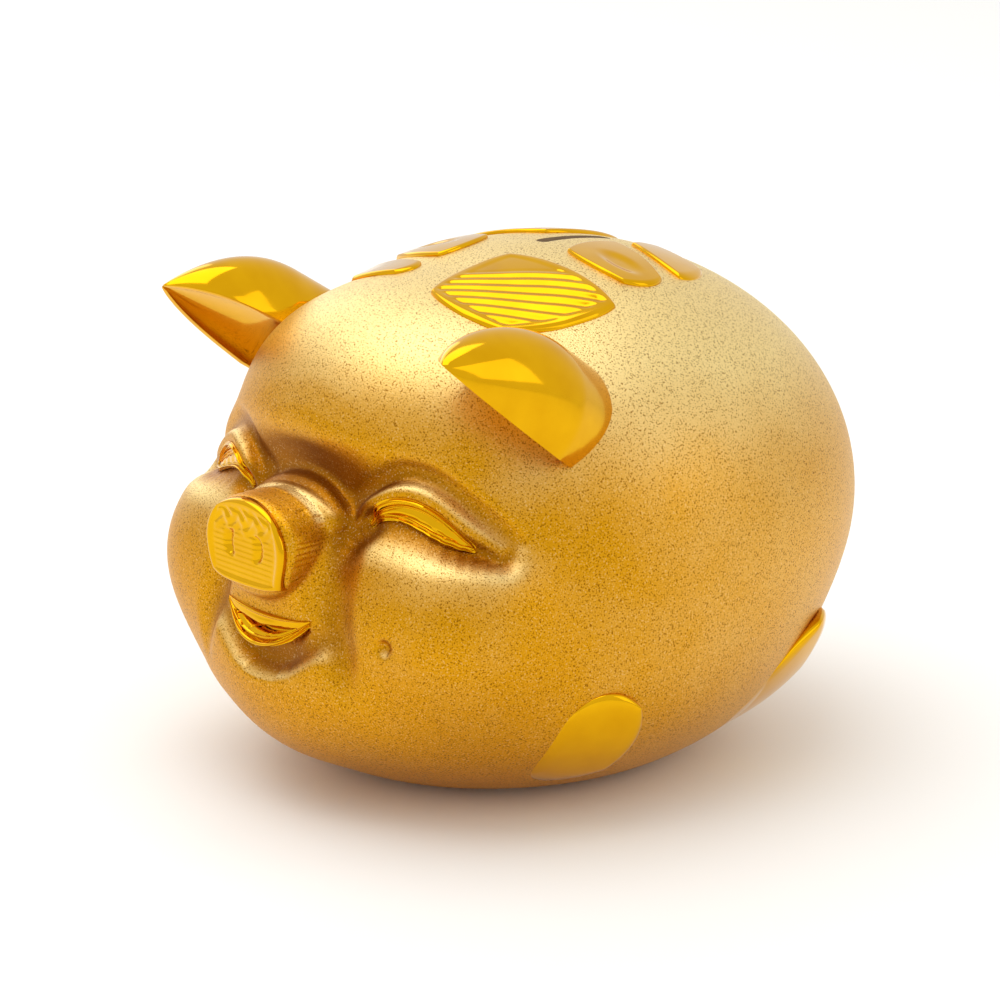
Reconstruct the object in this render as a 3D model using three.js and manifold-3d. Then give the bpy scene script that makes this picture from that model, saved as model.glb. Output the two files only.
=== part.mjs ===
// Piggy bank: a hollow slip-cast pig with polished sprigged ornaments, a coin slot in its back
// and a rubber stopper in its belly. Millimetres, +Z up. The pig faces -Y, its own left is +X,
// and the origin is on the ground under the middle of the pig.
import * as THREE from 'three';
import { mergeVertices } from 'three/addons/utils/BufferGeometryUtils.js';
import Module from 'manifold-3d';

const wasm = await Module();
wasm.setup();

// Driving dimensions.
const HALF_WIDTH = 99;
const HALF_LENGTH = 108;
const HALF_HEIGHT = 82.5;
const WALL = 5;
const BASE_Z = 1.5;
const GAP = 0.3;

const SLOT_LENGTH = 31;
const SLOT_WIDTH = 4.6;
const SLOT_MIDDLE_Y = 22;

const BELLY_HOLE_Y = -6;
const BELLY_HOLE_RADIUS = 19.3;
const BELLY_RECESS_RADIUS = 26;
const BELLY_RECESS_DEPTH = 2.9;
const FLOOR_Z = 8.5;

const STOPPER_RADIUS = BELLY_HOLE_RADIUS - GAP;
const STOPPER_FLANGE_RADIUS = 25;
const STOPPER_FLANGE_THICKNESS = 2.2;
const STOPPER_HEIGHT = 11;
const STOPPER_WALL = 3;

const BUMPER_RADIUS = 6;
const BUMPER_HEIGHT = BASE_Z - GAP;
const BUMPER_X = 29;
const BUMPER_Y = [-35, 22];

const SNOUT = { x: 21.5, z: 16, length: 37, edge: 3.5, at: new THREE.Vector3(0, -96, 87.5) };
const NOSE_PLATE_THICKNESS = 1.8;
const EYE_THICKNESS = 2;
const MOUTH_THICKNESS = 2.4;
const FOOT_THICKNESS = 4.5;
const PANEL_THICKNESS = 1.8;

const EAR_TIP = new THREE.Vector3(67.6, -93.4, 154.4);
const EAR_OUTER_ROOT = new THREE.Vector3(76.5, -55, 120.5);
const EAR_INNER_ROOT = new THREE.Vector3(44, -60, 140);
const EAR_DEPTH = 26;
const EAR_DISH = 6;
const EAR_LIP = 1.8;
const EAR_LEAN = 3;
const EAR_BULGE = { outer: 1.5, inner: 4.5 };

const point = (x, y, z) => new THREE.Vector3(x, y, z);

// Materials.
function finish(color, roughness, metalness) {
  return new THREE.MeshStandardMaterial({ color, roughness, metalness });
}
const satinGold = finish(0xd9a83a, 0.42, 1);
const polishedGold = finish(0xf0b323, 0.12, 1);
const rubber = finish(0x9c9a92, 0.8, 0);

// The pig's shape is a field: the distance in millimetres from a point to its outer surface.
function ellipsoid(p, centre, radii) {
  const q = p.clone().sub(centre).divide(radii);
  const k0 = q.length();
  const k1 = q.divide(radii).length();
  return k0 * (k0 - 1) / k1;
}

function join(a, b, blend) {
  const h = Math.max(blend - Math.abs(a - b), 0) / blend;
  return Math.min(a, b) - h * h * blend / 4;
}

const cut = (a, b, blend) => -join(-a, b, blend);

// A groove or bead that runs through a list of [x, y, z, radius].
function bead(p, stations) {
  let nearest = Infinity;
  for (let i = 1; i < stations.length; i += 1) {
    const [ax, ay, az, ar] = stations[i - 1];
    const [bx, by, bz, br] = stations[i];
    const along = point(bx - ax, by - ay, bz - az);
    const from = p.clone().sub(point(ax, ay, az));
    const t = THREE.MathUtils.clamp(from.dot(along) / along.lengthSq(), 0, 1);
    nearest = Math.min(nearest, from.addScaledVector(along, -t).length() - ar - (br - ar) * t);
  }
  return nearest;
}

// The hollow under the brow that holds the eyes, and the cleft that holds the mouth.
const EYE_HOLLOW = [
  [0, -100, 106, 13],
  [24, -101, 105.5, 13.5],
  [38, -98, 107, 13],
  [52, -90, 104, 10],
  [63, -80, 97, 5.5],
  [70, -72, 92, 2],
];
const MOUTH_CLEFT = [[0, -108, 58, 4], [9, -107, 60, 3.4], [17, -103, 65, 1.4]];

function snout(p) {
  const q = p.clone().sub(SNOUT.at);
  const side = (Math.hypot(q.x / SNOUT.x, q.z / SNOUT.z) - 1) * SNOUT.z + SNOUT.edge;
  const front = Math.abs(q.y) - SNOUT.length / 2 + SNOUT.edge;
  const beyond = Math.hypot(Math.max(side, 0), Math.max(front, 0));
  return Math.min(Math.max(side, front), 0) + beyond - SNOUT.edge;
}

function barrel(p) {
  const q = point(Math.abs(p.x), p.y, p.z);
  let d = ellipsoid(q, point(0, 5.5, HALF_HEIGHT), point(HALF_WIDTH, HALF_LENGTH, HALF_HEIGHT));
  d = join(d, ellipsoid(q, point(0, -17, 45), point(87, 93, 47)), 30);
  d = join(d, ellipsoid(q, point(0, -46, 120), point(60, 46, 38)), 10);
  d = join(d, ellipsoid(q, point(46, -64, 66), point(36, 37, 36)), 9);
  return join(d, ellipsoid(q, point(0, -82, 40), point(32, 24, 24)), 9);
}

// The barrel with the hollow under its brow.
function browed(p) {
  return cut(barrel(p), bead(point(Math.abs(p.x), p.y, p.z), EYE_HOLLOW), 9);
}

function pig(p) {
  const q = point(Math.abs(p.x), p.y, p.z);
  let d = browed(p);
  d = join(d, join(snout(q), ellipsoid(q, point(12, -94, 72), point(15, 13, 11)), 6), 5);
  d = cut(d, bead(q, MOUTH_CLEFT), 2);
  return cut(d, p.z - BASE_Z, 4);
}

// The field whose surface, one wall further in, is the cavity: the snout stays solid.
function inside(p) {
  const q = point(Math.abs(p.x), p.y, p.z);
  return cut(cut(browed(p), bead(q, MOUTH_CLEFT), 4), p.z - FLOOR_Z + WALL, 8);
}

// A globe of rays from inside the snout's line. Its pole points at the snout, and its rings are
// closest together round the snout: [number of rings, last ring's angle from the pole].
const GLOBE_CENTRE = point(0, -5, 86.5);
const OUTER_RINGS = [[2, 8], [4, 14], [13, 76], [12, 180]];
const INNER_RINGS = [[12, 60], [12, 180]];

function globe(sectors, rings) {
  const angles = [0];
  for (const [count, last] of rings) {
    const first = angles[angles.length - 1];
    for (let i = 1; i <= count; i += 1) angles.push(first + (last - first) * i / count);
  }
  const geometry = new THREE.SphereGeometry(1, sectors, angles.length - 1).rotateX(Math.PI);
  const position = geometry.attributes.position;
  const ray = new THREE.Vector3();
  for (let i = 0; i < position.count; i += 1) {
    ray.fromBufferAttribute(position, i);
    const turn = Math.acos(THREE.MathUtils.clamp(-ray.y, -1, 1));
    const ring = Math.round(turn / Math.PI * (angles.length - 1));
    const angle = THREE.MathUtils.degToRad(angles[ring]);
    const round = Math.hypot(ray.x, ray.z) || 1;
    const away = THREE.MathUtils.smoothstep(angles[ring], 12, 60);
    const squash = THREE.MathUtils.lerp(SNOUT.z / SNOUT.x, 1, away);
    const flat = Math.sin(angle) / round;
    ray.set(ray.x * flat, -Math.cos(angle), ray.z * flat * squash).normalize();
    position.setXYZ(i, ray.x, ray.y, ray.z);
  }
  return geometry;
}

// Presses a globe's vertices on to the surface that lies `offset` outside the field's zero.
function pressed(geometry, field, offset) {
  const position = geometry.attributes.position;
  const ray = new THREE.Vector3();
  for (let i = 0; i < position.count; i += 1) {
    ray.fromBufferAttribute(position, i);
    let reach = 1.7 * HALF_LENGTH;
    for (let step = 0; step < 90; step += 1) {
      reach -= 0.85 * (field(GLOBE_CENTRE.clone().addScaledVector(ray, reach)) - offset);
    }
    position.setXYZ(i, ...GLOBE_CENTRE.clone().addScaledVector(ray, reach).toArray());
  }
  return geometry;
}

// Turns a geometry's triangles round if they point inwards.
function outward(geometry) {
  const merged = mergeVertices(bare(geometry), 1e-4);
  const at = merged.attributes.position;
  const index = merged.index.array;
  const [a, b, c] = [point(0, 0, 0), point(0, 0, 0), point(0, 0, 0)];
  let volume = 0;
  for (let i = 0; i < index.length; i += 3) {
    a.fromBufferAttribute(at, index[i]);
    b.fromBufferAttribute(at, index[i + 1]);
    c.fromBufferAttribute(at, index[i + 2]);
    volume += a.dot(b.cross(c));
  }
  if (volume < 0) index.reverse();
  return merged;
}

function bare(geometry) {
  geometry.deleteAttribute('normal');
  geometry.deleteAttribute('uv');
  return geometry;
}

function solid(geometry) {
  const merged = outward(geometry);
  const vertProperties = Float32Array.from(merged.attributes.position.array);
  const triVerts = Uint32Array.from(merged.index.array);
  return new wasm.Manifold(new wasm.Mesh({ numProp: 3, vertProperties, triVerts }));
}

// Keeps the largest of a cut solid's separate lumps.
function largest(solids) {
  return solids.decompose().sort((a, b) => b.volume() - a.volume())[0];
}

const group = new THREE.Group();

function addNode(name, shape, material) {
  const { vertProperties, triVerts } = shape.getMesh();
  const geometry = new THREE.BufferGeometry();
  geometry.setAttribute('position', new THREE.BufferAttribute(vertProperties, 3));
  geometry.setIndex(new THREE.BufferAttribute(triVerts, 1));
  geometry.computeVertexNormals();
  const mesh = new THREE.Mesh(geometry, material);
  mesh.name = name;
  group.add(mesh);
}

// The pig's outside at a distance from its true surface, made once for each distance.
const skins = new Map();
function skin(offset) {
  if (!skins.has(offset)) skins.set(offset, solid(pressed(globe(52, OUTER_RINGS), pig, offset)));
  return skins.get(offset);
}

// A prism: a shape drawn in the plane of `across` and `up`, reaching from one depth to another.
function prism(shape, across, up, depth, from, to) {
  const options = { depth: to - from, bevelEnabled: false, curveSegments: 6 };
  const geometry = new THREE.ExtrudeGeometry(shape, options).translate(0, 0, from);
  return solid(geometry.applyMatrix4(new THREE.Matrix4().makeBasis(across, up, depth)));
}

// A sprig: an ornament of even thickness that lies on the pig inside the prism's outline.
function sprig(outline, thickness) {
  return largest(outline.intersect(skin(GAP + thickness)).subtract(skin(GAP)));
}

function lathe(profile, segments) {
  const points = profile.map(([radius, z]) => new THREE.Vector2(radius, z));
  return new THREE.LatheGeometry(points, segments).rotateX(Math.PI / 2);
}

const X = point(1, 0, 0);
const Y = point(0, 1, 0);
const Z = point(0, 0, 1);
const FORWARD = point(0, -1, 0);
const sideways = (side) => point(side, 0, 0);

// body_shell: the hollow cast pig, with its coin slot and the recessed hole in its belly.
function bodyShell() {
  const cavity = solid(pressed(globe(36, INNER_RINGS), inside, -WALL));
  const half = SLOT_LENGTH / 2 - SLOT_WIDTH / 2;
  const slot = new THREE.Shape();
  slot.absarc(0, SLOT_MIDDLE_Y + half, SLOT_WIDTH / 2, 0, Math.PI);
  slot.absarc(0, SLOT_MIDDLE_Y - half, SLOT_WIDTH / 2, Math.PI, 2 * Math.PI);
  const hole = new THREE.CylinderGeometry(BELLY_HOLE_RADIUS, BELLY_HOLE_RADIUS, 30, 40);
  hole.rotateX(Math.PI / 2).translate(0, BELLY_HOLE_Y, 0);
  const recessHeight = 2 * BELLY_RECESS_DEPTH;
  const recess = new THREE.CylinderGeometry(BELLY_RECESS_RADIUS, BELLY_RECESS_RADIUS, recessHeight, 48);
  recess.rotateX(Math.PI / 2).translate(0, BELLY_HOLE_Y, BASE_Z);
  return skin(0)
    .subtract(cavity)
    .subtract(prism(slot, X, Y, Z, HALF_HEIGHT, 3 * HALF_HEIGHT))
    .subtract(solid(hole))
    .subtract(solid(recess));
}
addNode('body_shell', bodyShell(), satinGold);

// left_ear and right_ear: leaves that are domed behind and have a shallow dish in front, inside a
// lip. Each runs from the tip back into the head.
function ear(side) {
  const steps = { along: 9, round: 12 };
  const geometry = bare(new THREE.BoxGeometry(1, 1, 1, steps.along, steps.round, 1));
  const outer = EAR_OUTER_ROOT.clone().sub(EAR_TIP);
  const inner = EAR_INNER_ROOT.clone().sub(EAR_TIP);
  const dome = outer.clone().cross(inner).normalize();
  const across = outer.clone().sub(inner);
  const halfRoot = across.length() / 2;
  across.normalize();
  const position = geometry.attributes.position;
  for (let i = 0; i < position.count; i += 1) {
    const along = THREE.MathUtils.lerp(0.06, 1.4, position.getX(i) + 0.5);
    const turn = position.getY(i) * Math.PI;
    const share = Math.min(along, 1);
    const hood = 1 - (1 - share) ** 2;
    const inFront = position.getZ(i) < 0;
    const depth = inFront ? EAR_DISH : EAR_DEPTH;
    const bulge = (turn > 0 ? EAR_BULGE.outer : EAR_BULGE.inner) * Math.sin(Math.PI * share ** 0.8);
    let half = share ** 0.75 * halfRoot + bulge;
    if (inFront) half = Math.max(half - EAR_LIP, half * 0.4);
    const arch = Math.max(Math.cos(turn), 0);
    const p = EAR_TIP.clone().addScaledVector(outer, along / 2).addScaledVector(inner, along / 2);
    const lean = EAR_LEAN * arch * Math.sqrt(hood) * depth / EAR_DEPTH;
    p.addScaledVector(across, half * Math.sin(turn) - lean);
    p.addScaledVector(dome, arch ** 0.8 * depth * hood ** 0.95);
    position.setXYZ(i, p.x * side, p.y, p.z);
  }
  return largest(solid(geometry).subtract(skin(GAP)));
}

// left_eye and right_eye: smiling crescents under the brow.
function eye(side) {
  const crescent = new THREE.Shape();
  crescent.moveTo(28, 95.5);
  crescent.bezierCurveTo(33, 109, 47, 113, 62.5, 92);
  crescent.bezierCurveTo(46, 96, 38, 104.5, 28, 95.5);
  return sprig(prism(crescent, sideways(side), Z, FORWARD, 50, 120), EYE_THICKNESS);
}

// The four feet: long ovals laid on the flanks, [y, z, half length, half width, lean].
const FEET = { front: [-45, 29, 18, 13.5, 1.55], rear: [41, 30, 28, 12, 0.665] };
function foot(side, [y, z, halfLength, halfWidth, lean]) {
  const oval = new THREE.Shape();
  oval.absellipse(y, z, halfLength, halfWidth, 0, 2 * Math.PI, false, lean);
  return sprig(prism(oval, Y, Z, sideways(side), 40, 110), FOOT_THICKNESS);
}

for (const [sideName, side] of [['left', 1], ['right', -1]]) {
  addNode(`${sideName}_ear`, ear(side), polishedGold);
  addNode(`${sideName}_eye`, eye(side), polishedGold);
  for (const [end, oval] of Object.entries(FEET)) {
    addNode(`${end}_${sideName}_foot`, foot(side, oval), polishedGold);
  }
}

// nose_plate: the polished front of the snout, arched above and flat below.
function nosePlate() {
  const face = new THREE.Shape();
  face.moveTo(-18.8, 86);
  face.bezierCurveTo(-18.8, 109, 18.8, 109, 18.8, 86);
  face.lineTo(18.8, 82);
  face.quadraticCurveTo(18.8, 75.2, 12, 75.2);
  face.lineTo(-12, 75.2);
  face.quadraticCurveTo(-18.8, 75.2, -18.8, 82);
  const back = SNOUT.length / 2 - SNOUT.at.y - SNOUT.edge;
  const front = SNOUT.length / 2 - SNOUT.at.y + GAP + NOSE_PLATE_THICKNESS;
  return largest(prism(face, X, Z, FORWARD, back, front).subtract(skin(GAP)));
}
addNode('nose_plate', nosePlate(), polishedGold);

// mouth: the polished smile set in the cleft under the snout.
function mouth() {
  const smile = new THREE.Shape();
  smile.moveTo(-18, 66.6);
  smile.bezierCurveTo(-10, 51, 10, 51, 20, 66.4);
  smile.bezierCurveTo(7, 66, -6, 66, -18, 66.6);
  return sprig(prism(smile, X, Z, FORWARD, 90, 130), MOUTH_THICKNESS);
}
addNode('mouth', mouth(), polishedGold);

// tail: a little curl lying on the rump, not quite a full turn, so that it never meets itself.
const TAIL = { z: 92, out: 111.5, lift: 1.9, radius: 9, thickness: 3.2, turns: 0.82 };
function tail() {
  const stations = [];
  for (let i = 0; i <= 10; i += 1) {
    const angle = i / 10 * TAIL.turns * 2 * Math.PI;
    const radius = TAIL.radius * (1 - 0.04 * i);
    const out = TAIL.out + TAIL.lift * i / 10;
    stations.push(point(radius * Math.sin(angle), out, TAIL.z - radius * Math.cos(angle)));
  }
  const section = new THREE.Shape();
  section.absarc(0, 0, TAIL.thickness, 0, 2 * Math.PI);
  const extrudePath = new THREE.CatmullRomCurve3(stations);
  const curl = new THREE.ExtrudeGeometry(section, { extrudePath, steps: 18, curveSegments: 4 });
  return largest(solid(curl).subtract(skin(GAP)));
}
addNode('tail', tail(), polishedGold);

// Six raised panels on the back, three on each side of the slot. Each is a round-cornered
// quadrilateral. The right side's three are the left side's turned half round.
const PANELS = {
  big: [[7, -52], [0.5, -8], [54, 0], [42, -49]],
  middle: [[12, 3], [9, 32], [44, 23], [42, 5]],
  narrow: [[8.5, 36], [9, 49], [34, 50], [43, 29]],
};
const TURN_ABOUT = { x: -2.5, y: 4 };
function panel(corners, turned) {
  const flip = ([x, y]) => new THREE.Vector2(2 * TURN_ABOUT.x - x, 2 * TURN_ABOUT.y - y);
  const ends = corners.map((corner) => (turned ? flip(corner) : new THREE.Vector2(...corner)));
  const outline = new THREE.Shape();
  ends.forEach((corner, i) => {
    const before = ends[(i + ends.length - 1) % ends.length];
    const after = ends[(i + 1) % ends.length];
    const start = corner.clone().lerp(before, 0.3);
    const finishAt = corner.clone().lerp(after, 0.3);
    if (i === 0) outline.moveTo(start.x, start.y);
    else outline.lineTo(start.x, start.y);
    outline.quadraticCurveTo(corner.x, corner.y, finishAt.x, finishAt.y);
  });
  return sprig(prism(outline, X, Y, Z, 120, 190), PANEL_THICKNESS);
}
const PANEL_NAMES = {
  left_front_panel: ['big', false],
  left_middle_panel: ['middle', false],
  left_rear_panel: ['narrow', false],
  right_rear_panel: ['big', true],
  right_middle_panel: ['middle', true],
  right_front_panel: ['narrow', true],
};
for (const [name, [size, turned]] of Object.entries(PANEL_NAMES)) {
  addNode(name, panel(PANELS[size], turned), polishedGold);
}

// stopper: a soft cup with a flange, pushed into the belly hole from below.
function stopper() {
  const top = BASE_Z + BELLY_RECESS_DEPTH - GAP;
  const bottom = top - STOPPER_FLANGE_THICKNESS;
  const inside = STOPPER_RADIUS - STOPPER_WALL;
  const cup = lathe([
    [0, bottom],
    [STOPPER_FLANGE_RADIUS, bottom],
    [STOPPER_FLANGE_RADIUS, top],
    [STOPPER_RADIUS, top],
    [STOPPER_RADIUS - 0.6, bottom + STOPPER_HEIGHT],
    [inside, bottom + STOPPER_HEIGHT],
    [inside, top],
    [0, top],
  ], 40);
  return solid(cup.translate(0, BELLY_HOLE_Y, 0));
}
addNode('stopper', stopper(), rubber);

// Four bumpers stuck under the belly.
for (const [sideName, side] of [['left', 1], ['right', -1]]) {
  for (const [end, y] of [['front', BUMPER_Y[0]], ['rear', BUMPER_Y[1]]]) {
    const disc = new THREE.CylinderGeometry(BUMPER_RADIUS, BUMPER_RADIUS, BUMPER_HEIGHT, 24);
    disc.rotateX(Math.PI / 2).translate(side * BUMPER_X, y, BUMPER_HEIGHT / 2);
    addNode(`${end}_${sideName}_bumper`, solid(disc), rubber);
  }
}

export default group;
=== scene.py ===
"""Piggy bank: a slip-cast pig in satin gold with polished ears, eyes, snout, mouth, feet and panels,
a coin slot in its back and a rubber stopper in its belly. Metres, +Z up, the pig faces -Y."""
import math

import bmesh
import bpy
import numpy as np
from mathutils import Matrix, Vector


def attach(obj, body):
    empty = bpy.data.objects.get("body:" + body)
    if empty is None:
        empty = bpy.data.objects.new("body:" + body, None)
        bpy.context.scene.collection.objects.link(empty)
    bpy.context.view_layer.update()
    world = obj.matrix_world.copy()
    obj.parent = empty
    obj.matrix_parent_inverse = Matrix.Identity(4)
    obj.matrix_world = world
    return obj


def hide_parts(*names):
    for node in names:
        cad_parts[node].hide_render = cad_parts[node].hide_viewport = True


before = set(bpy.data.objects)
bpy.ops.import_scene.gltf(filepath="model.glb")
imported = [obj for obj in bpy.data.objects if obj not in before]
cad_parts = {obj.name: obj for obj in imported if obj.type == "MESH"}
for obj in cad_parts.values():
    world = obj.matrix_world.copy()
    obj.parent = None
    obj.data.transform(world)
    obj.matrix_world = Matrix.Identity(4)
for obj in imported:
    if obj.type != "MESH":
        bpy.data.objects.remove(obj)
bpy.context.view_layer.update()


# --- Camera ---------------------------------------------------------------------------------
# A long lens, a little above the pig and to the left of its snout, so that the near flank,
# the face and the top of the back all show.
AZIMUTH, ELEVATION = math.radians(48), math.radians(16.5)
CAMERA_DISTANCE = 1.4516
AIM = Vector((0, -0.010, 0.082))

camera = bpy.data.objects.new("camera", bpy.data.cameras.new("camera"))
bpy.context.scene.collection.objects.link(camera)
camera.data.lens = 162
camera.data.sensor_width = 36
outward = Vector((
    math.sin(AZIMUTH) * math.cos(ELEVATION),
    -math.cos(AZIMUTH) * math.cos(ELEVATION),
    math.sin(ELEVATION),
))
camera.location = AIM + outward * CAMERA_DISTANCE
camera.rotation_mode = "QUATERNION"
camera.rotation_quaternion = outward.to_track_quat("Z", "Y")
bpy.context.scene.camera = camera
bpy.context.scene.view_settings.view_transform = "Standard"


# --- Room -----------------------------------------------------------------------------------
# A white table in a pale room that lights the pig evenly from all round, with a large soft box
# overhead and a weaker one behind on each side.
class Node:
    """A socket in a node tree. Arithmetic on it adds Math nodes."""

    def __init__(self, tree, socket):
        self.tree = tree
        self.socket = socket

    def add(self, kind, settings=None, sockets=None, output=0):
        node = self.tree.nodes.new(kind)
        for name, value in (settings or {}).items():
            if name == "stops":
                ramp = node.color_ramp
                while len(ramp.elements) < len(value):
                    ramp.elements.new(1)
                for element, (position, color) in zip(ramp.elements, value):
                    element.position = position
                    element.color = color
            else:
                setattr(node, name, value)
        for name, value in (sockets or {}).items():
            if isinstance(value, Node):
                self.tree.links.new(value.socket, node.inputs[name])
            else:
                node.inputs[name].default_value = value
        return Node(self.tree, node.outputs[output])

    def maths(self, operation, *values):
        return self.add("ShaderNodeMath", {"operation": operation}, dict(enumerate(values)))

    def __add__(self, other):
        return self.maths("ADD", self, other)

    def __radd__(self, other):
        return self.maths("ADD", other, self)

    def __sub__(self, other):
        return self.maths("SUBTRACT", self, other)

    def __rsub__(self, other):
        return self.maths("SUBTRACT", other, self)

    def __mul__(self, other):
        return self.maths("MULTIPLY", self, other)

    def __rmul__(self, other):
        return self.maths("MULTIPLY", other, self)

    def between(self, low, high):
        """0 below low, 1 above high and a smooth step from one to the other."""
        settings = {"interpolation_type": "SMOOTHSTEP"}
        return self.add("ShaderNodeMapRange", settings, {0: self, 1: low, 2: high})

    def mix(self, first, second):
        """One colour or the other, by this value."""
        settings = {"data_type": "RGBA"}
        return self.add("ShaderNodeMix", settings, {0: self, 6: first, 7: second}, 2)


WHITE_ROOM = (1.0, 0.985, 0.96)
ROOM_BRIGHTNESS = 0.9
TABLE_WHITE = (0.95, 0.95, 0.94)
FLOOR_SIZE = 6.0


def area_light(name, place, size, power):
    light = bpy.data.lights.new(name, "AREA")
    light.shape = "RECTANGLE"
    light.size, light.size_y = size
    light.energy = power
    holder = bpy.data.objects.new(name, light)
    bpy.context.scene.collection.objects.link(holder)
    holder.location = place
    holder.rotation_mode = "QUATERNION"
    holder.rotation_quaternion = (Vector(place) - AIM).to_track_quat("Z", "Y")


def plain_material(name, color, roughness):
    material = bpy.data.materials.new(name)
    material.use_nodes = True
    shader = material.node_tree.nodes["Principled BSDF"]
    shader.inputs["Base Color"].default_value = (*color, 1)
    shader.inputs["Roughness"].default_value = roughness
    return material


def as_object(name, form, material):
    """Turns a finished bmesh, in millimetres, into an object in metres."""
    bmesh.ops.transform(form, matrix=Matrix.Scale(0.001, 4), verts=form.verts)
    for face in form.faces:
        face.smooth = True
    mesh = bpy.data.meshes.new(name)
    form.to_mesh(mesh)
    form.free()
    for one in material if isinstance(material, (list, tuple)) else [material]:
        mesh.materials.append(one)
    thing = bpy.data.objects.new(name, mesh)
    bpy.context.scene.collection.objects.link(thing)
    return thing


world = bpy.data.worlds.new("room")
bpy.context.scene.world = world
world.use_nodes = True
background = world.node_tree.nodes["Background"]
background.inputs["Color"].default_value = (*WHITE_ROOM, 1)
background.inputs["Strength"].default_value = ROOM_BRIGHTNESS

floor_form = bmesh.new()
bmesh.ops.create_grid(floor_form, x_segments=1, y_segments=1, size=FLOOR_SIZE * 500)
floor = as_object("floor", floor_form, plain_material("table_top", TABLE_WHITE, 0.6))

area_light("soft_box_above", (-0.25, -0.2, 1.3), (1.3, 1.3), 7.5)
area_light("soft_box_left", (-1.6, 0.4, 0.8), (0.9, 1.1), 3)
area_light("soft_box_right", (1.6, 0.6, 0.8), (0.9, 1.1), 2)


# --- body_shell -----------------------------------------------------------------------------
# The pig itself: slip-cast stoneware, hollow, glazed, sand-blasted and plated, so that the gold
# has a fine satin grain. The slot and the belly hole are cut while the clay is leather-hard.
# All the shapes here are worked out in millimetres.
# The rounded masses, each as its middle and its radii.
BARREL = ((0, 5.5, 82.5), (99, 108, 82.5))
BELLY = ((0, -17, 45), (87, 93, 47))
FOREHEAD = ((0, -46, 120), (60, 46, 38))
CHEEK = ((46, -64, 66), (36, 37, 36))
CHIN = ((0, -82, 40), (32, 24, 24))
BASE_Z = 1.5
WALL = 5
FLOOR_Z = 8.5
# The hollows, rolls and grooves of the left half of the face, each along its stations of x, y, z
# and radius. The right half mirrors them.
EYE_HOLLOW = (
    (0, -100, 106, 13), (24, -101, 105.5, 13.5), (38, -98, 107, 13),
    (52, -90, 104, 10), (63, -80, 97, 5.5), (70, -72, 92, 2),
)
EYELID = (
    (24, -90, 96, 1.6), (29, -88.5, 102.5, 2.6), (35, -86, 106.5, 3.1), (42, -82.5, 107.5, 3.3),
    (50, -79, 104.8, 3.1), (59, -75.5, 98.5, 2.6), (68, -70.5, 92.5, 1.2),
)
BROW_GROOVE = (
    (20, -89.5, 104, 1), (29, -88, 109, 1.8), (37, -85, 114, 2), (46, -80.5, 113.5, 2),
    (55, -76.5, 108.8, 1.8), (63, -72.5, 103, 1.6), (72, -67, 96, 0.6),
)
BRIDGE = ((0, -90, 102.5, 3), (8, -91, 101.5, 3), (15, -92.5, 98.5, 2.8), (21, -94, 94.5, 2))
MOUTH_CLEFT = ((0, -108, 58, 4), (9, -107, 60, 3.4), (16, -105, 64, 1.4))
SNOUT_CREASE = (
    (30, -91.5, 97, 2.5), (26, -96.5, 93, 4.5), (26, -103, 87, 6), (26.3, -106.5, 80, 6.8),
    (27.3, -107.5, 72, 6.8), (29, -107, 66, 5.6), (31.5, -106.5, 60, 4.4), (33.5, -106.5, 53, 3),
    (34.5, -106, 46, 0.8),
)
LIP_CREASE = (
    (0, -108.5, 50.5, 4), (8, -108.5, 52, 4), (15, -109, 56, 3.8), (22, -108, 60.5, 3.4),
    (28, -107, 62.5, 2.5),
)
# The dimple is on the left cheek only.
DIMPLE = (48.8, -102.0, 63.6)
DIMPLE_RADIUS = 3.0
SNOUT_MIDDLE = (0, -96, 87.5)
SNOUT_RADII = (21.5, 16)
SNOUT_LENGTH = 37
SNOUT_EDGE = 3.5
JAW = ((12, -94, 72), (15, 13, 11))
SLOT = {"y": 22, "length": 31, "width": 4.6}
HOLE_Y = -6
HOLE_RADIUS = 19.3
RECESS_RADIUS = 26
RECESS_DEPTH = 2.9


def ellipsoid(p, centre, radii):
    """Roughly the distance from points to an ellipsoid's surface, negative inside it."""
    q = (p - np.array(centre, float)) / np.array(radii, float)
    k0 = np.linalg.norm(q, axis=1)
    k1 = np.linalg.norm(q / np.array(radii, float), axis=1) + 1e-9
    return k0 * (k0 - 1) / k1


def join(a, b, blend):
    """Two surfaces run together with a fillet."""
    h = np.maximum(blend - np.abs(a - b), 0) / blend
    return np.minimum(a, b) - h * h * blend / 4


def cut(a, b, blend):
    """The first surface with the second taken out of it."""
    return -join(-a, b, blend)


def line_through(stations, parts=3):
    """More stations, on a smooth curve through the given ones."""
    p = np.array(stations, float)
    p = np.vstack((2 * p[0] - p[1], p, 2 * p[-1] - p[-2]))
    t = np.arange(parts)[:, None] / parts
    spans = [
        b + ((c - a) * t + (2 * a - 5 * b + 4 * c - d) * t ** 2 + (3 * b - a - 3 * c + d) * t ** 3) / 2
        for a, b, c, d in zip(p, p[1:], p[2:], p[3:])
    ]
    return np.vstack((*spans, p[-2]))


BEAD_REACH = 25


def bead(p, stations):
    """The distance to a roll of clay, or a groove, through stations of x, y, z and radius.
    Points that are far from it are only told that it is far."""
    line = line_through(stations)
    reach = line[:, 3].max() + BEAD_REACH
    low, high = line[:, :3].min(axis=0) - reach, line[:, :3].max(axis=0) + reach
    near = np.all((p > low) & (p < high), axis=1)
    q = p[near]
    found = np.full(len(q), 1e9)
    for start, end in zip(line, line[1:]):
        run = end[:3] - start[:3]
        t = np.clip((q - start[:3]) @ run / (run @ run), 0, 1)
        away = np.linalg.norm(q - start[:3] - t[:, None] * run, axis=1)
        found = np.minimum(found, away - start[3] - (end[3] - start[3]) * t)
    nearest = np.full(len(p), 1e9)
    nearest[near] = found
    return nearest


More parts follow.
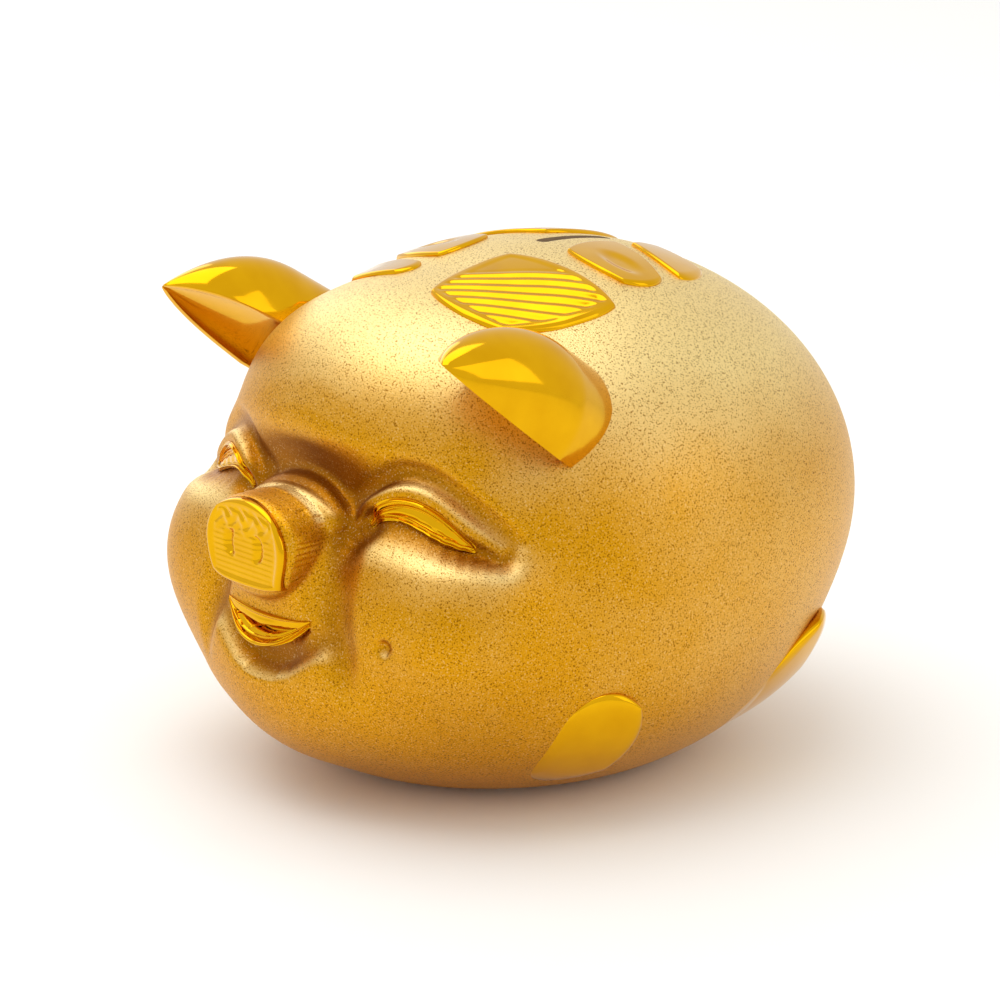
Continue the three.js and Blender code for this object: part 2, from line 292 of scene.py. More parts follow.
def mirrored(p):
    return np.column_stack((np.abs(p[:, 0]), p[:, 1], p[:, 2]))


def barrel(p):
    """The plain rounded pig, without its features."""
    q = mirrored(p)
    d = ellipsoid(q, *BARREL)
    d = join(d, ellipsoid(q, *BELLY), 30)
    d = join(d, ellipsoid(q, *FOREHEAD), 10)
    d = join(d, ellipsoid(q, *CHEEK), 9)
    return join(d, ellipsoid(q, *CHIN), 9)


def snout(p):
    q = p - np.array(SNOUT_MIDDLE)
    side = (np.hypot(q[:, 0] / SNOUT_RADII[0], q[:, 2] / SNOUT_RADII[1]) - 1) * SNOUT_RADII[1] + SNOUT_EDGE
    front = np.abs(q[:, 1]) - SNOUT_LENGTH / 2 + SNOUT_EDGE
    beyond = np.hypot(np.maximum(side, 0), np.maximum(front, 0))
    return np.minimum(np.maximum(side, front), 0) + beyond - SNOUT_EDGE


def wrinkles(p):
    """Soft folds across the top of the snout."""
    y, z = p[:, 1] + 100, p[:, 2]
    where = np.exp(-((y / 8) ** 2)) * np.clip((z - 92) / 8, 0, 1)
    return 0.32 * where * np.sin(y * 1.35)


def pig(p):
    """The distance in millimetres from points to the pig's outer surface."""
    q = mirrored(p)
    d = cut(barrel(p), bead(q, EYE_HOLLOW), 9)
    d = join(d, bead(q, EYELID), 3)
    d = cut(d, bead(q, BROW_GROOVE), 4)
    d = join(d, join(snout(q), ellipsoid(q, *JAW), 6), 5)
    d = join(d, bead(q, BRIDGE), 5)
    d = cut(d, bead(q, MOUTH_CLEFT), 2)
    d = cut(d, bead(q, SNOUT_CREASE), 6)
    d = cut(d, bead(q, LIP_CREASE), 5)
    d = cut(d, np.linalg.norm(p - np.array(DIMPLE), axis=1) - DIMPLE_RADIUS, 0.7)
    d = cut(d, p[:, 2] - BASE_Z, 4)
    return d + wrinkles(p)


def cavity(p):
    """The field whose surface, one wall further in, is the cavity: the snout stays solid."""
    q = mirrored(p)
    d = cut(cut(barrel(p), bead(q, EYE_HOLLOW), 9), bead(q, MOUTH_CLEFT), 4)
    d = cut(cut(d, bead(q, SNOUT_CREASE), 6), bead(q, LIP_CREASE), 5)
    return cut(d, p[:, 2] - FLOOR_Z + WALL, 8)


MOST_STEPS = 400
STEP_SHARE = 0.7
CLOSE_ENOUGH = 0.002


def settled(points, direction, field, height=0.0):
    """Moves points along their directions until they lie at a height over a field's surface."""
    p = np.array(points, float)
    direction = np.broadcast_to(direction, p.shape)
    height = np.broadcast_to(height, len(p))
    moving = np.arange(len(p))
    for _ in range(MOST_STEPS):
        step = STEP_SHARE * (field(p[moving]) - height[moving])
        p[moving] += direction[moving] * step[:, None]
        moving = moving[np.abs(step) > CLOSE_ENOUGH]
        if not len(moving):
            break
    return p


def places(form):
    return np.array([v.co for v in form.verts], float)


def put(form, points):
    for vertex, point in zip(form.verts, points):
        vertex.co = point


PIG_MIDDLE = np.array((0, -5, 86.5))
FAR_OUT = 190
ROUND_SNOUT_FROM, ROUND_SNOUT_OVER = 12, 48


def skin(sectors, rings, field, height):
    """A closed skin round the pig. Its pole is at the snout, and each of its bands of rings is
    (number of rings, the last ring's angle from the pole in degrees). Its rays start as flat as
    the snout's front and are round from 60 degrees on."""
    angles = [0.0]
    for count, last in rings:
        angles += list(np.linspace(angles[-1], last, count + 1)[1:])
    form = bmesh.new()
    bmesh.ops.create_uvsphere(form, u_segments=sectors, v_segments=len(angles) - 1, radius=1)
    ball = places(form)
    ring = np.rint(np.arccos(np.clip(ball[:, 2], -1, 1)) / math.pi * (len(angles) - 1)).astype(int)
    angle = np.radians(np.array(angles)[ring])
    turn = np.arctan2(ball[:, 1], ball[:, 0])
    away = np.clip((np.degrees(angle) - ROUND_SNOUT_FROM) / ROUND_SNOUT_OVER, 0, 1)
    flat = SNOUT_RADII[1] / SNOUT_RADII[0]
    flat += (1 - flat) * away * away * (3 - 2 * away)
    rays = np.column_stack((
        np.sin(angle) * np.cos(turn), -np.cos(angle), np.sin(angle) * np.sin(turn) * flat,
    ))
    rays /= np.linalg.norm(rays, axis=1)[:, None]
    put(form, settled(PIG_MIDDLE + FAR_OUT * rays, -rays, field, height))
    return form


def cutter(name, outline, low, high, index=0):
    """A closed prism that stands on an outline of (x, y) corners."""
    form = bmesh.new()
    ring = [form.verts.new((x, y, low)) for x, y in outline]
    bottom = form.faces.new(ring)
    bmesh.ops.extrude_face_region(form, geom=[bottom])
    top = [v for v in form.verts if v not in ring]
    bmesh.ops.translate(form, verts=top, vec=(0, 0, high - low))
    bmesh.ops.recalc_face_normals(form, faces=form.faces)
    for face in form.faces:
        face.material_index = index
    return as_object(name, form, [satin_gold, slot_shade_biscuit])


def stadium(length, width, middle_y, count=16):
    half = length / 2 - width / 2
    turns = np.linspace(0, 2 * math.pi, 2 * count, endpoint=False) + math.pi / (2 * count)
    return [
        (width / 2 * math.cos(a), middle_y + (half if math.sin(a) > 0 else -half) + width / 2 * math.sin(a))
        for a in turns
    ]


def circle(radius, middle_y, count=96):
    turns = np.linspace(0, 2 * math.pi, count, endpoint=False)
    return [(radius * math.cos(a), middle_y + radius * math.sin(a)) for a in turns]


def taken_out(thing, tool):
    """Cuts the tool's shape out of a thing and throws the tool away."""
    step = thing.modifiers.new("cut", "BOOLEAN")
    step.operation = "DIFFERENCE"
    step.solver = "MANIFOLD"
    step.object = tool
    graph = bpy.context.evaluated_depsgraph_get()
    cut_mesh = bpy.data.meshes.new_from_object(thing.evaluated_get(graph))
    thing.modifiers.clear()
    thing.data = cut_mesh
    bpy.data.objects.remove(tool)


def new_material(name):
    material = bpy.data.materials.new(name)
    material.use_nodes = True
    shader = material.node_tree.nodes["Principled BSDF"]
    tree = material.node_tree
    coordinates = tree.nodes.new("ShaderNodeTexCoord")
    return material, shader, Node(tree, coordinates.outputs["Object"])


def drive(shader, socket, value):
    value.tree.links.new(value.socket, shader.inputs[socket])


def noise(where, scale, detail=2.0, roughness=0.5):
    sockets = {"Vector": where, "Scale": scale, "Detail": detail, "Roughness": roughness}
    return where.add("ShaderNodeTexNoise", {}, sockets)


def bump(where, height, strength, distance):
    sockets = {"Height": height, "Strength": strength, "Distance": distance}
    return where.add("ShaderNodeBump", {}, sockets)


# Satin gold: a fine sand-blasted grain, dark in its pits, with pale specks on its points as
# painted glints. Painted shade darkens it to deep amber in the hollows, and a painted highlight
# makes it paler on the back and wherever it faces up, where the light from above falls.
# The lie attribute is each point's height in millimetres over the plain rounded pig.
SATIN_DEEP = (0.26, 0.10, 0.003, 1)
SATIN_HOLLOW_SHADE = (0.34, 0.12, 0.002, 1)
SATIN_MAIN = (0.67, 0.31, 0.006, 1)
SATIN_TOP_HIGHLIGHT = (0.88, 0.68, 0.29, 1)
SATIN_GLINT = (0.92, 0.74, 0.40, 1)
satin_gold, shader, where = new_material("satin_gold")
grain = noise(where, 1800, 1.5, 0.6)
clouds = noise(where, 60, 3.0)
lie = where.add("ShaderNodeAttribute", {"attribute_name": "lie"}, output="Fac")
# Painted shade: where the skin lies under the plain rounded pig, the gold is darkened to deep amber.
hollow_shade = 1 - lie.between(-5, -0.6)
normal = where.add("ShaderNodeTexCoord", output="Normal")
upward = normal.add("ShaderNodeSeparateXYZ", {}, {0: normal}, 2)
rearward = where.add("ShaderNodeSeparateXYZ", {}, {0: where}, 1)
# Painted highlight: paler where the skin faces up and towards the back, where the light above falls; the
# clouds add random tone.
painted_highlight_and_clouds = upward.between(0.25, 0.95) * (1 - hollow_shade) * (1 - lie.between(0.8, 3))
painted_highlight_and_clouds = painted_highlight_and_clouds + rearward.between(-0.07, 0.04) * 0.25 + (clouds - 0.5) * 0.3
# Painted glints: pale specks on the points of the grain.
glint_speck = grain.between(0.58, 0.72)
pit = 1 - grain.between(0.32, 0.46)
tint = painted_highlight_and_clouds.add("ShaderNodeClamp", {}, {0: painted_highlight_and_clouds}).mix(SATIN_MAIN, SATIN_TOP_HIGHLIGHT)
tint = hollow_shade.mix(tint, SATIN_HOLLOW_SHADE)
tint = (glint_speck * 0.3).mix(tint, SATIN_GLINT)
tint = (pit * 0.9).mix(tint, SATIN_DEEP)
drive(shader, "Base Color", tint)
drive(shader, "Roughness", 0.36 + 0.12 * clouds)
drive(shader, "Normal", bump(where, grain, 0.35, 0.0004))
shader.inputs["Metallic"].default_value = 1

# Biscuit: the bare stoneware inside the bank and in the slot, made a dark brown as painted shade so that
# the slot reads dark.
slot_shade_biscuit, shader, where = new_material("slot_shade_clay")
drive(shader, "Base Color", noise(where, 220, 4.0).mix((0.16, 0.10, 0.05, 1), (0.24, 0.16, 0.09, 1)))
drive(shader, "Normal", bump(where, noise(where, 900, 2.0), 0.3, 0.0003))
shader.inputs["Roughness"].default_value = 0.85

# The outer skin, finest round the face, then the inner skin turned inside out.
body_form = skin(320, [(8, 8), (30, 16), (100, 62), (62, 180)], pig, 0)
inner_form = skin(72, [(24, 60), (24, 180)], cavity, -WALL)
bmesh.ops.reverse_faces(inner_form, faces=inner_form.faces)
for face in inner_form.faces:
    face.material_index = 1
inner_mesh = bpy.data.meshes.new("inner")
inner_form.to_mesh(inner_mesh)
inner_form.free()
body_form.from_mesh(inner_mesh)
bpy.data.meshes.remove(inner_mesh)
body_shell = as_object("body_shell_visual", body_form, [satin_gold, slot_shade_biscuit])
taken_out(body_shell, cutter("slot_tool", stadium(SLOT["length"], SLOT["width"], SLOT["y"]), 120, 200, 1))
taken_out(body_shell, cutter("hole_tool", circle(HOLE_RADIUS, HOLE_Y), -10, 30, 1))
taken_out(body_shell, cutter("recess_tool", circle(RECESS_RADIUS, HOLE_Y), -10, BASE_Z + RECESS_DEPTH))
# How far each point lies over or under the plain rounded pig, for the painted shade in the hollows and the
# painted highlight.
corners = np.array([v.co for v in body_shell.data.vertices], float) * 1000
body_shell.data.attributes.new("lie", "FLOAT", "POINT").data.foreach_set("value", barrel(corners))
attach(body_shell, "root")
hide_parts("body_shell")


# --- left_ear and right_ear -----------------------------------------------------------------
# Leaves of clay, pressed in a mould, luted to the head and left glossy under the gold. Each is
# domed behind, runs to a point in front, and has a shallow dish inside a rounded lip. Its root
# is sunk in the head.
EAR_TIP = np.array((67.6, -93.4, 154.4))
EAR_OUTER_ROOT = np.array((76.5, -55.0, 120.5))
EAR_INNER_ROOT = np.array((44.0, -60.0, 140.0))
EAR_DEPTH = 26
EAR_LEAN = 3
EAR_BULGE = {"outer": 1.5, "inner": 4.5}
EAR_DISH = 6
EAR_LIP = 1.8
EAR_STEPS = 48

# Polished gold: a mirror that is only slightly wavy, as fired glaze is.
POLISHED = (0.84, 0.46, 0.006, 1)
POLISHED_WORN = (0.68, 0.33, 0.003, 1)
polished_gold, shader, where = new_material("polished_gold")
waves = noise(where, 90, 2.0)
drive(shader, "Base Color", waves.mix(POLISHED, POLISHED_WORN))
drive(shader, "Roughness", 0.07 + 0.05 * noise(where, 300, 3.0))
drive(shader, "Normal", bump(where, waves, 0.08, 0.0006))
shader.inputs["Metallic"].default_value = 1


def ear_sheet(form, depth, width):
    """One face of an ear: a grid that runs from the tip to inside the head, rim to rim."""
    outer = EAR_OUTER_ROOT - EAR_TIP
    inner = EAR_INNER_ROOT - EAR_TIP
    dome = np.cross(outer, inner)
    dome /= np.linalg.norm(dome)
    across = (outer - inner) / np.linalg.norm(outer - inner)
    made = bmesh.ops.create_grid(form, x_segments=EAR_STEPS, y_segments=EAR_STEPS, size=1)["verts"]
    sheet = np.array([v.co for v in made], float)
    along = 0.01 + 1.39 * (sheet[:, 0] + 1) / 2
    turn = sheet[:, 1] * math.pi / 2
    share = np.minimum(along, 1)
    hood = 1 - (1 - share) ** 2
    bulge = np.where(turn > 0, EAR_BULGE["outer"], EAR_BULGE["inner"]) * np.sin(math.pi * share ** 0.8)
    half = share ** 0.75 * np.linalg.norm(outer - inner) / 2 + bulge
    half = np.maximum(half - width, half * 0.4)
    points = EAR_TIP + np.outer(along / 2, outer + inner)
    points += np.outer(half * np.sin(turn), across)
    points += np.outer(np.cos(turn) ** 0.8 * depth * hood ** 0.95, dome)
    points -= np.outer(EAR_LEAN * np.cos(turn) * hood ** 0.5 * depth / EAR_DEPTH, across)
    for vertex, point in zip(made, points):
        vertex.co = point
    return {e for v in made for e in v.link_edges if e.is_boundary}


def ear(side):
    form = bmesh.new()
    dome_rim = ear_sheet(form, EAR_DEPTH, 0)
    dish_rim = ear_sheet(form, EAR_DISH, EAR_LIP)
    bmesh.ops.bridge_loops(form, edges=list(dome_rim | dish_rim))
    bmesh.ops.scale(form, vec=(side, 1, 1), verts=form.verts)
    bmesh.ops.recalc_face_normals(form, faces=form.faces)
    leaf = as_object(f"{'left' if side > 0 else 'right'}_ear_visual", form, polished_gold)
    rim = leaf.modifiers.new("rim", "BEVEL")
    rim.width = 0.0008
    rim.segments = 3
    rim.limit_method = "ANGLE"
    rim.angle_limit = math.radians(40)
    return leaf


for side_name, side in (("left", 1), ("right", -1)):
    leaf = ear(side)
    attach(leaf, "root")
    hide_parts(f"{side_name}_ear")


# --- left_eye and right_eye -----------------------------------------------------------------
# Smiling crescents set under the lids: thin sprigs of clay, glazed and plated bright. Each has
# a rim above and below and a rounded lens between them.
def curve(ends, t):
    """Points on a Bezier curve through its handles, at the shares t."""
    t = t[:, None]
    found = 0
    order = len(ends) - 1
    for i, end in enumerate(ends):
        found = found + math.comb(order, i) * t ** i * (1 - t) ** (order - i) * np.array(end, float)
    return found


def ridge(t, middle, width):
    """A rounded rib of height 1 across a share t."""
    return np.exp(-(((t - middle) / width) ** 2))


def edged(distance, radius):
    """0 at an edge, rising in a quarter round to 1 at a distance of radius."""
    share = np.clip(distance / radius, 0, 1)
    return np.sqrt(1 - (1 - share) ** 2)


# Where the ornaments start before they are laid on the skin.
IN_FRONT, BESIDE, ABOVE = -130.0, 118.0, 190.0


def sprig(name, across, along, outline, relief, direction, side=1, thick=1.2):
    """An ornament laid on the pig: a grid of (s, t) whose outline gives its points out in front of
    the skin and whose relief gives their heights. It is dropped on to the skin along direction."""
    form = bmesh.new()
    bmesh.ops.create_grid(form, x_segments=across, y_segments=along, size=1)
    sheet = places(form)
    s, t = (sheet[:, 0] + 1) / 2, (sheet[:, 1] + 1) / 2
    points = outline(s, t)
    laid = settled(points, np.array(direction, float), pig, relief(s, t, points))
    laid[:, 0] *= side
    put(form, laid)
    bmesh.ops.remove_doubles(form, verts=form.verts, dist=0.01)
    bmesh.ops.recalc_face_normals(form, faces=form.faces)
    thing = as_object(name, form, polished_gold)
    facing = sum((f.normal * f.area for f in thing.data.polygons), Vector())
    if facing.dot(Vector((direction[0] * side, direction[1], direction[2]))) > 0:
        thing.data.flip_normals()
    back = thing.modifiers.new("back", "SOLIDIFY")
    back.thickness = thick / 1000
    back.offset = -1
    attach(thing, "root")
    return thing


EYE_LOW = ((28.0, 95.5), (38, 104.5), (46, 96), (62.5, 92))
EYE_HIGH = ((28.0, 95.5), (33, 109), (47, 113), (62.5, 92))
EYE_RIM = 1.7


def crescent(low_ends, high_ends):
    """The outline between two curves, given by their handles in (x, z)."""
    def outline(s, t):
        low, high = curve(low_ends, s), curve(high_ends, s)
        flat = low + (high - low) * t[:, None]
        return np.column_stack((flat[:, 0], np.full(len(s), IN_FRONT), flat[:, 1]))

    return outline


def eye_relief(s, t, points):
    room = np.sin(math.pi * s) ** 0.6
    lens = 1.1 * np.sin(math.pi * np.clip((t - 0.12) / 0.5, 0, 1))
    ribs = EYE_RIM * ridge(t, 0.08, 0.07) + 0.8 * ridge(t, 0.66, 0.06) + 1.3 * ridge(t, 0.92, 0.06)
    edge = edged(np.minimum(t, 1 - t), 0.06)
    return (0.25 + room * (lens + ribs)) * edge - 0.5 * (1 - edge)


for side_name, side in (("left", 1), ("right", -1)):
    eye = sprig(
        f"{side_name}_eye_visual", 60, 44, crescent(EYE_LOW, EYE_HIGH), eye_relief, (0, 1, 0), side,
    )
    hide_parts(f"{side_name}_eye")


# --- nose_plate -----------------------------------------------------------------------------
# The front of the snout, polished: an arch-topped plate with a raised rim, two curled nostrils,
# a hammered upper half and fine reeding below.
NOSE_HALF = 18.8
NOSE_TOP = 103.2
NOSE_FOOT = 75.2
NOSE_FOOT_HEIGHT = 13
NOSE_THICK = 1.75
NOSTRIL = {"x": 6, "z": 88.3, "half_height": 4.2, "half_width": 1.3, "depth": 1.7}


def squared(s, t, corner=0.0):
    """A unit disc's points from a square grid, with corners sharpened by `corner`."""
    u, v = 2 * s - 1, 2 * t - 1
    x, z = u * np.sqrt(1 - v * v / 2), v * np.sqrt(1 - u * u / 2)
    return x + (u - x) * corner, z + (v - z) * corner


def nose_outline(s, t):
    x, z = squared(s, t)
    sharp = np.clip(-z, 0, 1) * 0.75
    u, v = 2 * s - 1, 2 * t - 1
    x, z = x + (u - x) * sharp, z + (v - z) * sharp
    middle = NOSE_FOOT + NOSE_FOOT_HEIGHT
    z = middle + np.where(z > 0, z * (NOSE_TOP - middle), z * (middle - NOSE_FOOT))
    return np.column_stack((x * NOSE_HALF, np.full(len(s), IN_FRONT), z))


def comma(x, z, at_x, at_z, lean):
    """A curled nostril's depth, 1 at its middle line."""
    run = (z - at_z) / NOSTRIL["half_height"]
    bow = at_x + lean * (1 - run * run) * 1.3
    return np.exp(-(((x - bow) / NOSTRIL["half_width"]) ** 2)) * np.clip(1.25 - np.abs(run) ** 2, 0, 1)


def nose_relief(s, t, points):
    x, z = points[:, 0], points[:, 2]
    edge = np.minimum(np.minimum(s, 1 - s), np.minimum(t, 1 - t)) * 2 * NOSE_HALF
    plate = NOSE_THICK * edged(edge, 1.6)
    dish = 0.45 * np.clip((edge - 2.2) / 1.6, 0, 1)
    upper = np.clip((z - 90) / 5, 0, 1)
    lumps = 0.36 * np.sin(x * 0.9 + 1.1 * np.sin(z * 0.7)) * np.sin(z * 1.1 + 0.8 * np.sin(x * 0.8))
    reeds = 0.07 * np.sin(z * 3.6) * (1 - upper)
    nostrils = sum(comma(x, z, side * NOSTRIL["x"], NOSTRIL["z"], side) for side in (-1, 1))
    inside = np.clip((edge - 3) / 2, 0, 1)
    return plate - dish + inside * (lumps * upper + reeds) - NOSTRIL["depth"] * nostrils + 0.25


nose_plate = sprig("nose_plate_visual", 96, 96, nose_outline, nose_relief, (0, 1, 0), 1, 1.5)
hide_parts("nose_plate")


# --- mouth ----------------------------------------------------------------------------------
# The smile: a polished crescent in the cleft under the snout, with a full lower lip.
MOUTH_LOW = ((-18, 66.6), (-10, 51), (10, 51), (20, 66.4))
MOUTH_HIGH = ((-18, 66.6), (-6, 66), (7, 66), (20, 66.4))


def mouth_relief(s, t, points):
    room = np.sin(math.pi * s) ** 0.7
    lip = 1.5 * ridge(t, 0.12, 0.08) + 0.9 * ridge(t, 0.32, 0.07) + 0.8 * ridge(t, 0.94, 0.05)
    edge = edged(np.minimum(t, 1 - t), 0.05)
    return (0.3 + room * lip) * edge - 0.5 * (1 - edge)


mouth = sprig("mouth_visual", 60, 44, crescent(MOUTH_LOW, MOUTH_HIGH), mouth_relief, (0, 1, 0))
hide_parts("mouth")


# --- front_left_foot, rear_left_foot, front_right_foot and rear_right_foot --------------------
# Long polished ovals laid along the flanks. Each is thin in front and stands proud behind.
FEET = {"front": (-45, 29, 18, 13.5, 1.55), "rear": (41, 30, 28, 12, 0.665)}
FOOT_THICK = 4.4


def foot_maker(y, z, half_length, half_width, lean):
    def outline(s, t):
        u, v = squared(s, t)
        u, v = u * half_length, v * half_width
        return np.column_stack((
            np.full(len(s), BESIDE),
            y + u * math.cos(lean) - v * math.sin(lean),
            z + u * math.sin(lean) + v * math.cos(lean),
        ))

    def relief(s, t, points):
        edge = np.minimum(np.minimum(s, 1 - s), np.minimum(t, 1 - t)) * 2 * half_width
        swell = 0.12 + 0.88 * np.clip((points[:, 1] - y) / half_width * 0.5 + 0.5, 0, 1)
        return FOOT_THICK * swell * edged(edge, 4.5) - 0.4

    return outline, relief


for end, oval in FEET.items():
    outline, relief = foot_maker(*oval)
    for side_name, side in (("left", 1), ("right", -1)):
        foot = sprig(f"{end}_{side_name}_foot_visual", 56, 56, outline, relief, (-1, 0, 0), side, 1.5)
        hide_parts(f"{end}_{side_name}_foot")


# --- tail -----------------------------------------------------------------------------------
# A little rolled curl of clay, luted flat to the rump and plated bright.
TAIL = {"z": 92, "out": 111.5, "lift": 1.9, "radius": 9, "thickness": 3.2, "turns": 0.82}


def tail_line(share):
    angle = share * TAIL["turns"] * 2 * math.pi
    radius = TAIL["radius"] * (1 - 0.4 * share)
    out = TAIL["out"] + TAIL["lift"] * share
    return np.array((radius * math.sin(angle), out, TAIL["z"] - radius * math.cos(angle)))


TAIL_STEPS = 48
tail_form = bmesh.new()
rings = []
for i in range(TAIL_STEPS + 1):
    share = i / TAIL_STEPS
    taper = 1 - 0.35 * share
    if share > 0.9:
        taper *= math.sqrt(max(1 - ((share - 0.9) / 0.1) ** 2, 0.004))
    made = bmesh.ops.create_circle(tail_form, segments=24, radius=TAIL["thickness"] * taper)
    run = Vector(tail_line(min(share + 0.01, 1.01)) - tail_line(share))
    turn = run.to_track_quat("Z", "Y").to_matrix().to_4x4()
    bmesh.ops.transform(
        tail_form, matrix=Matrix.Translation(Vector(tail_line(share))) @ turn, verts=made["verts"],
    )
    rings.append(list({e for v in made["verts"] for e in v.link_edges}))
for first, second in zip(rings, rings[1:]):
    bmesh.ops.bridge_loops(tail_form, edges=first + second)
for ends in (rings[0], rings[-1]):
    bmesh.ops.contextual_create(tail_form, geom=ends)
bmesh.ops.recalc_face_normals(tail_form, faces=tail_form.faces)
tail = as_object("tail_visual", tail_form, polished_gold)
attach(tail, "root")
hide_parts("tail")


# --- the six back panels ----------------------------------------------------------------------
# Raised panels beside the slot, three to a side, cut from a thin slab and plated bright. The
# big ones are reeded, the middle ones have an oval dent, and the right side's three are the
# left side's turned half round.
PANELS = {
    "big": ((7, -52), (0.5, -8), (54, 0), (42, -49)),
    "middle": ((12, 3), (9, 32), (44, 23), (42, 5)),
    "narrow": ((8.5, 36), (9, 49), (34, 50), (43, 29)),
}
TURN_ABOUT = np.array((-2.5, 4.0))
PANEL_THICK = 1.7
PANEL_SHARPNESS = 0.4
RIB_ACROSS = (0.74, -0.67)
RIB_SPACING = 4.4
RIB_HEIGHT = 0.3
RIBS_FROM, RIBS_FADE = 24, 4
DENT = {"x": 29, "y": 15, "half_length": 7.5, "half_width": 4, "depth": 0.9}
PANEL_NAMES = {
    "left_front_panel": ("big", False),
    "left_middle_panel": ("middle", False),
    "left_rear_panel": ("narrow", False),
    "right_rear_panel": ("big", True),
    "right_middle_panel": ("middle", True),
    "right_front_panel": ("narrow", True),
}


def panel_maker(size, turned):
    a, b, c, d = (np.array(corner, float) for corner in PANELS[size])

    def outline(s, t):
        u, v = squared(s, t, PANEL_SHARPNESS)
        u, v = (u + 1) / 2, (v + 1) / 2
        u, v = u[:, None], v[:, None]
        flat = (1 - u) * ((1 - v) * a + v * b) + u * ((1 - v) * d + v * c)
        if turned:
            flat = 2 * TURN_ABOUT - flat
        return np.column_stack((flat, np.full(len(s), ABOVE)))

    def relief(s, t, points):
        flat = points[:, :2]
        if turned:
            flat = 2 * TURN_ABOUT - flat
        x, y = flat[:, 0], flat[:, 1]
        wide = min(np.linalg.norm(b - a), np.linalg.norm(d - a))
        edge = np.minimum(np.minimum(s, 1 - s), np.minimum(t, 1 - t)) * wide
        height = PANEL_THICK * edged(edge, 1.3)
        inside = np.clip((edge - 2.4) / 1.2, 0, 1)
        if size == "big":
            run = x * RIB_ACROSS[0] + y * RIB_ACROSS[1]
            ribs = RIB_HEIGHT * np.sin(run * 2 * math.pi / RIB_SPACING)
            ribbed = np.clip((run - RIBS_FROM) / RIBS_FADE, 0, 1)
            height += inside * (ribs * ribbed - RIB_HEIGHT)
        elif size == "middle":
            u = (x - DENT["x"]) / DENT["half_length"]
            v = (y - DENT["y"]) / DENT["half_width"]
            height -= DENT["depth"] * np.exp(-(u ** 2 + v ** 2) ** 2)
        return height - 0.35

    return outline, relief


for name, (size, turned) in PANEL_NAMES.items():
    outline, relief = panel_maker(size, turned)
    panel = sprig(f"{name}_visual", 90, 90, outline, relief, (0, 0, -1))
    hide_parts(name)


# --- stopper --------------------------------------------------------------------------------
# A soft moulded rubber cup with a flange, pushed into the belly hole from below. A bar across
# its dished middle is what the fingers pull.
STOPPER_TOP = BASE_Z + RECESS_DEPTH - 0.3
STOPPER_BOTTOM = STOPPER_TOP - 2.2
STOPPER_RADIUS = HOLE_RADIUS - 0.3

rubber, shader, where = new_material("stopper_rubber")
drive(shader, "Base Color", noise(where, 160, 3.0).mix((0.50, 0.48, 0.43, 1), (0.62, 0.60, 0.54, 1)))
drive(shader, "Normal", bump(where, noise(where, 1200, 2.0), 0.2, 0.0002))
shader.inputs["Roughness"].default_value = 0.62

profile = (
    (0, STOPPER_BOTTOM + 0.9), (13.6, STOPPER_BOTTOM + 0.9), (14.6, STOPPER_BOTTOM + 0.6),
    (15.2, STOPPER_BOTTOM + 0.1), (16, STOPPER_BOTTOM), (24.2, STOPPER_BOTTOM),
    (24.8, STOPPER_BOTTOM + 0.25), (25, STOPPER_BOTTOM + 0.8), (25, STOPPER_TOP - 0.5),
    (24.5, STOPPER_TOP), (19.8, STOPPER_TOP), (STOPPER_RADIUS, STOPPER_TOP + 0.6),
    (STOPPER_RADIUS, STOPPER_TOP + 2.6), (18.5, STOPPER_TOP + 3.2), (18.5, STOPPER_TOP + 4.4),
    (STOPPER_RADIUS, STOPPER_TOP + 5), (STOPPER_RADIUS - 0.2, STOPPER_TOP + 6.6),
    (18.1, STOPPER_TOP + 8.4), (17.2, STOPPER_TOP + 8.8), (16.2, STOPPER_TOP + 8.6),
    (16, STOPPER_TOP + 7.8), (16, STOPPER_TOP + 0.8), (15.2, STOPPER_TOP), (0, STOPPER_TOP),
)
stopper_form = bmesh.new()
line = [stopper_form.verts.new((radius, 0, z)) for radius, z in profile]
edges = [stopper_form.edges.new(pair) for pair in zip(line, line[1:])]
bmesh.ops.spin(
    stopper_form, geom=line + edges, cent=(0, 0, 0), axis=(0, 0, 1), angle=2 * math.pi, steps=96,
    use_merge=True,
)
bmesh.ops.remove_doubles(stopper_form, verts=stopper_form.verts, dist=0.001)
bmesh.ops.recalc_face_normals(stopper_form, faces=stopper_form.faces)
bmesh.ops.translate(stopper_form, verts=stopper_form.verts, vec=(0, HOLE_Y, 0))
stopper = as_object("stopper_visual", stopper_form, rubber)
crease = stopper.modifiers.new("soft_edges", "BEVEL")
crease.width = 0.0002
crease.segments = 2
crease.limit_method = "ANGLE"
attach(stopper, "stopper")
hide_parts("stopper")

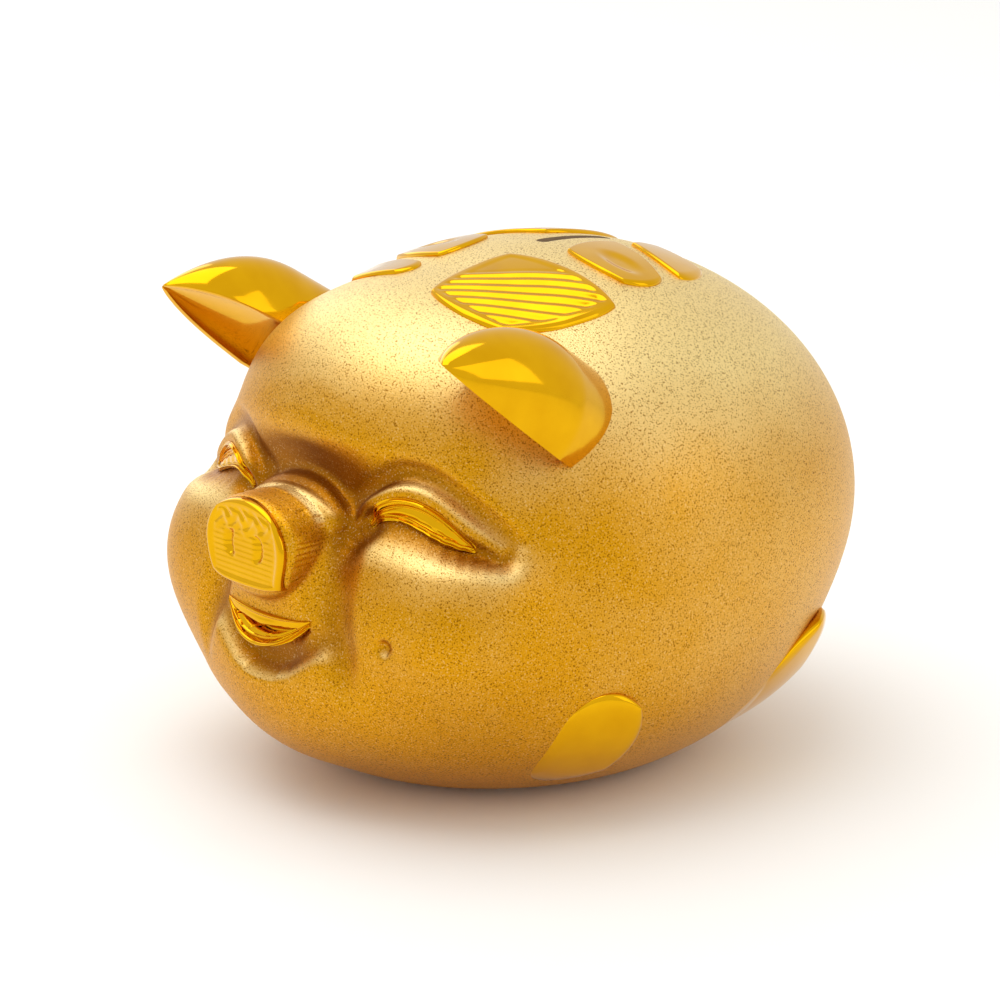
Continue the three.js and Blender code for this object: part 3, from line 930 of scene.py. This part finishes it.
grip_form = bmesh.new()
bmesh.ops.create_cube(grip_form, size=1)
bmesh.ops.scale(grip_form, vec=(22, 4, 1.6), verts=grip_form.verts)
bmesh.ops.translate(grip_form, vec=(0, HOLE_Y, STOPPER_BOTTOM + 0.85), verts=grip_form.verts)
upright = [e for e in grip_form.edges if abs(e.verts[0].co.z - e.verts[1].co.z) > 1]
bmesh.ops.bevel(
    grip_form, geom=upright, offset=1.9, affect="EDGES", segments=6, profile=0.5, material=-1,
)
rim = [e for e in grip_form.edges if all(v.co.z < STOPPER_BOTTOM + 0.2 for v in e.verts)]
bmesh.ops.bevel(
    grip_form, geom=rim, offset=0.5, affect="EDGES", segments=3, profile=0.5, material=-1,
)
grip = as_object("stopper_grip", grip_form, rubber)
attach(grip, "stopper")


# --- front_left_bumper, rear_left_bumper, front_right_bumper and rear_right_bumper ------------
# Clear-grey self-adhesive rubber domes that keep the plated base off the table.
BUMPER_RADIUS = 6
BUMPER_HEIGHT = BASE_Z - 0.3
BUMPER_X = 29
BUMPER_Y = {"front": -35, "rear": 22}

bumper_rubber, shader, where = new_material("bumper_rubber")
drive(shader, "Base Color", noise(where, 300, 2.0).mix((0.60, 0.60, 0.57, 1), (0.70, 0.70, 0.66, 1)))
shader.inputs["Roughness"].default_value = 0.35

for end, y in BUMPER_Y.items():
    for side_name, side in (("left", 1), ("right", -1)):
        form = bmesh.new()
        dome = [
            (0, 0), (BUMPER_RADIUS - 1.8, 0), (BUMPER_RADIUS - 0.8, 0.12), (BUMPER_RADIUS - 0.2, 0.45),
            (BUMPER_RADIUS, 0.95), (BUMPER_RADIUS, BUMPER_HEIGHT), (0, BUMPER_HEIGHT),
        ]
        line = [form.verts.new((radius, 0, z)) for radius, z in dome]
        edges = [form.edges.new(pair) for pair in zip(line, line[1:])]
        bmesh.ops.spin(
            form, geom=line + edges, cent=(0, 0, 0), axis=(0, 0, 1), angle=2 * math.pi, steps=48,
            use_merge=True,
        )
        bmesh.ops.remove_doubles(form, verts=form.verts, dist=0.001)
        bmesh.ops.recalc_face_normals(form, faces=form.faces)
        bmesh.ops.translate(form, verts=form.verts, vec=(side * BUMPER_X, y, 0))
        bumper = as_object(f"{end}_{side_name}_bumper_visual", form, bumper_rubber)
        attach(bumper, "root")
        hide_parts(f"{end}_{side_name}_bumper")
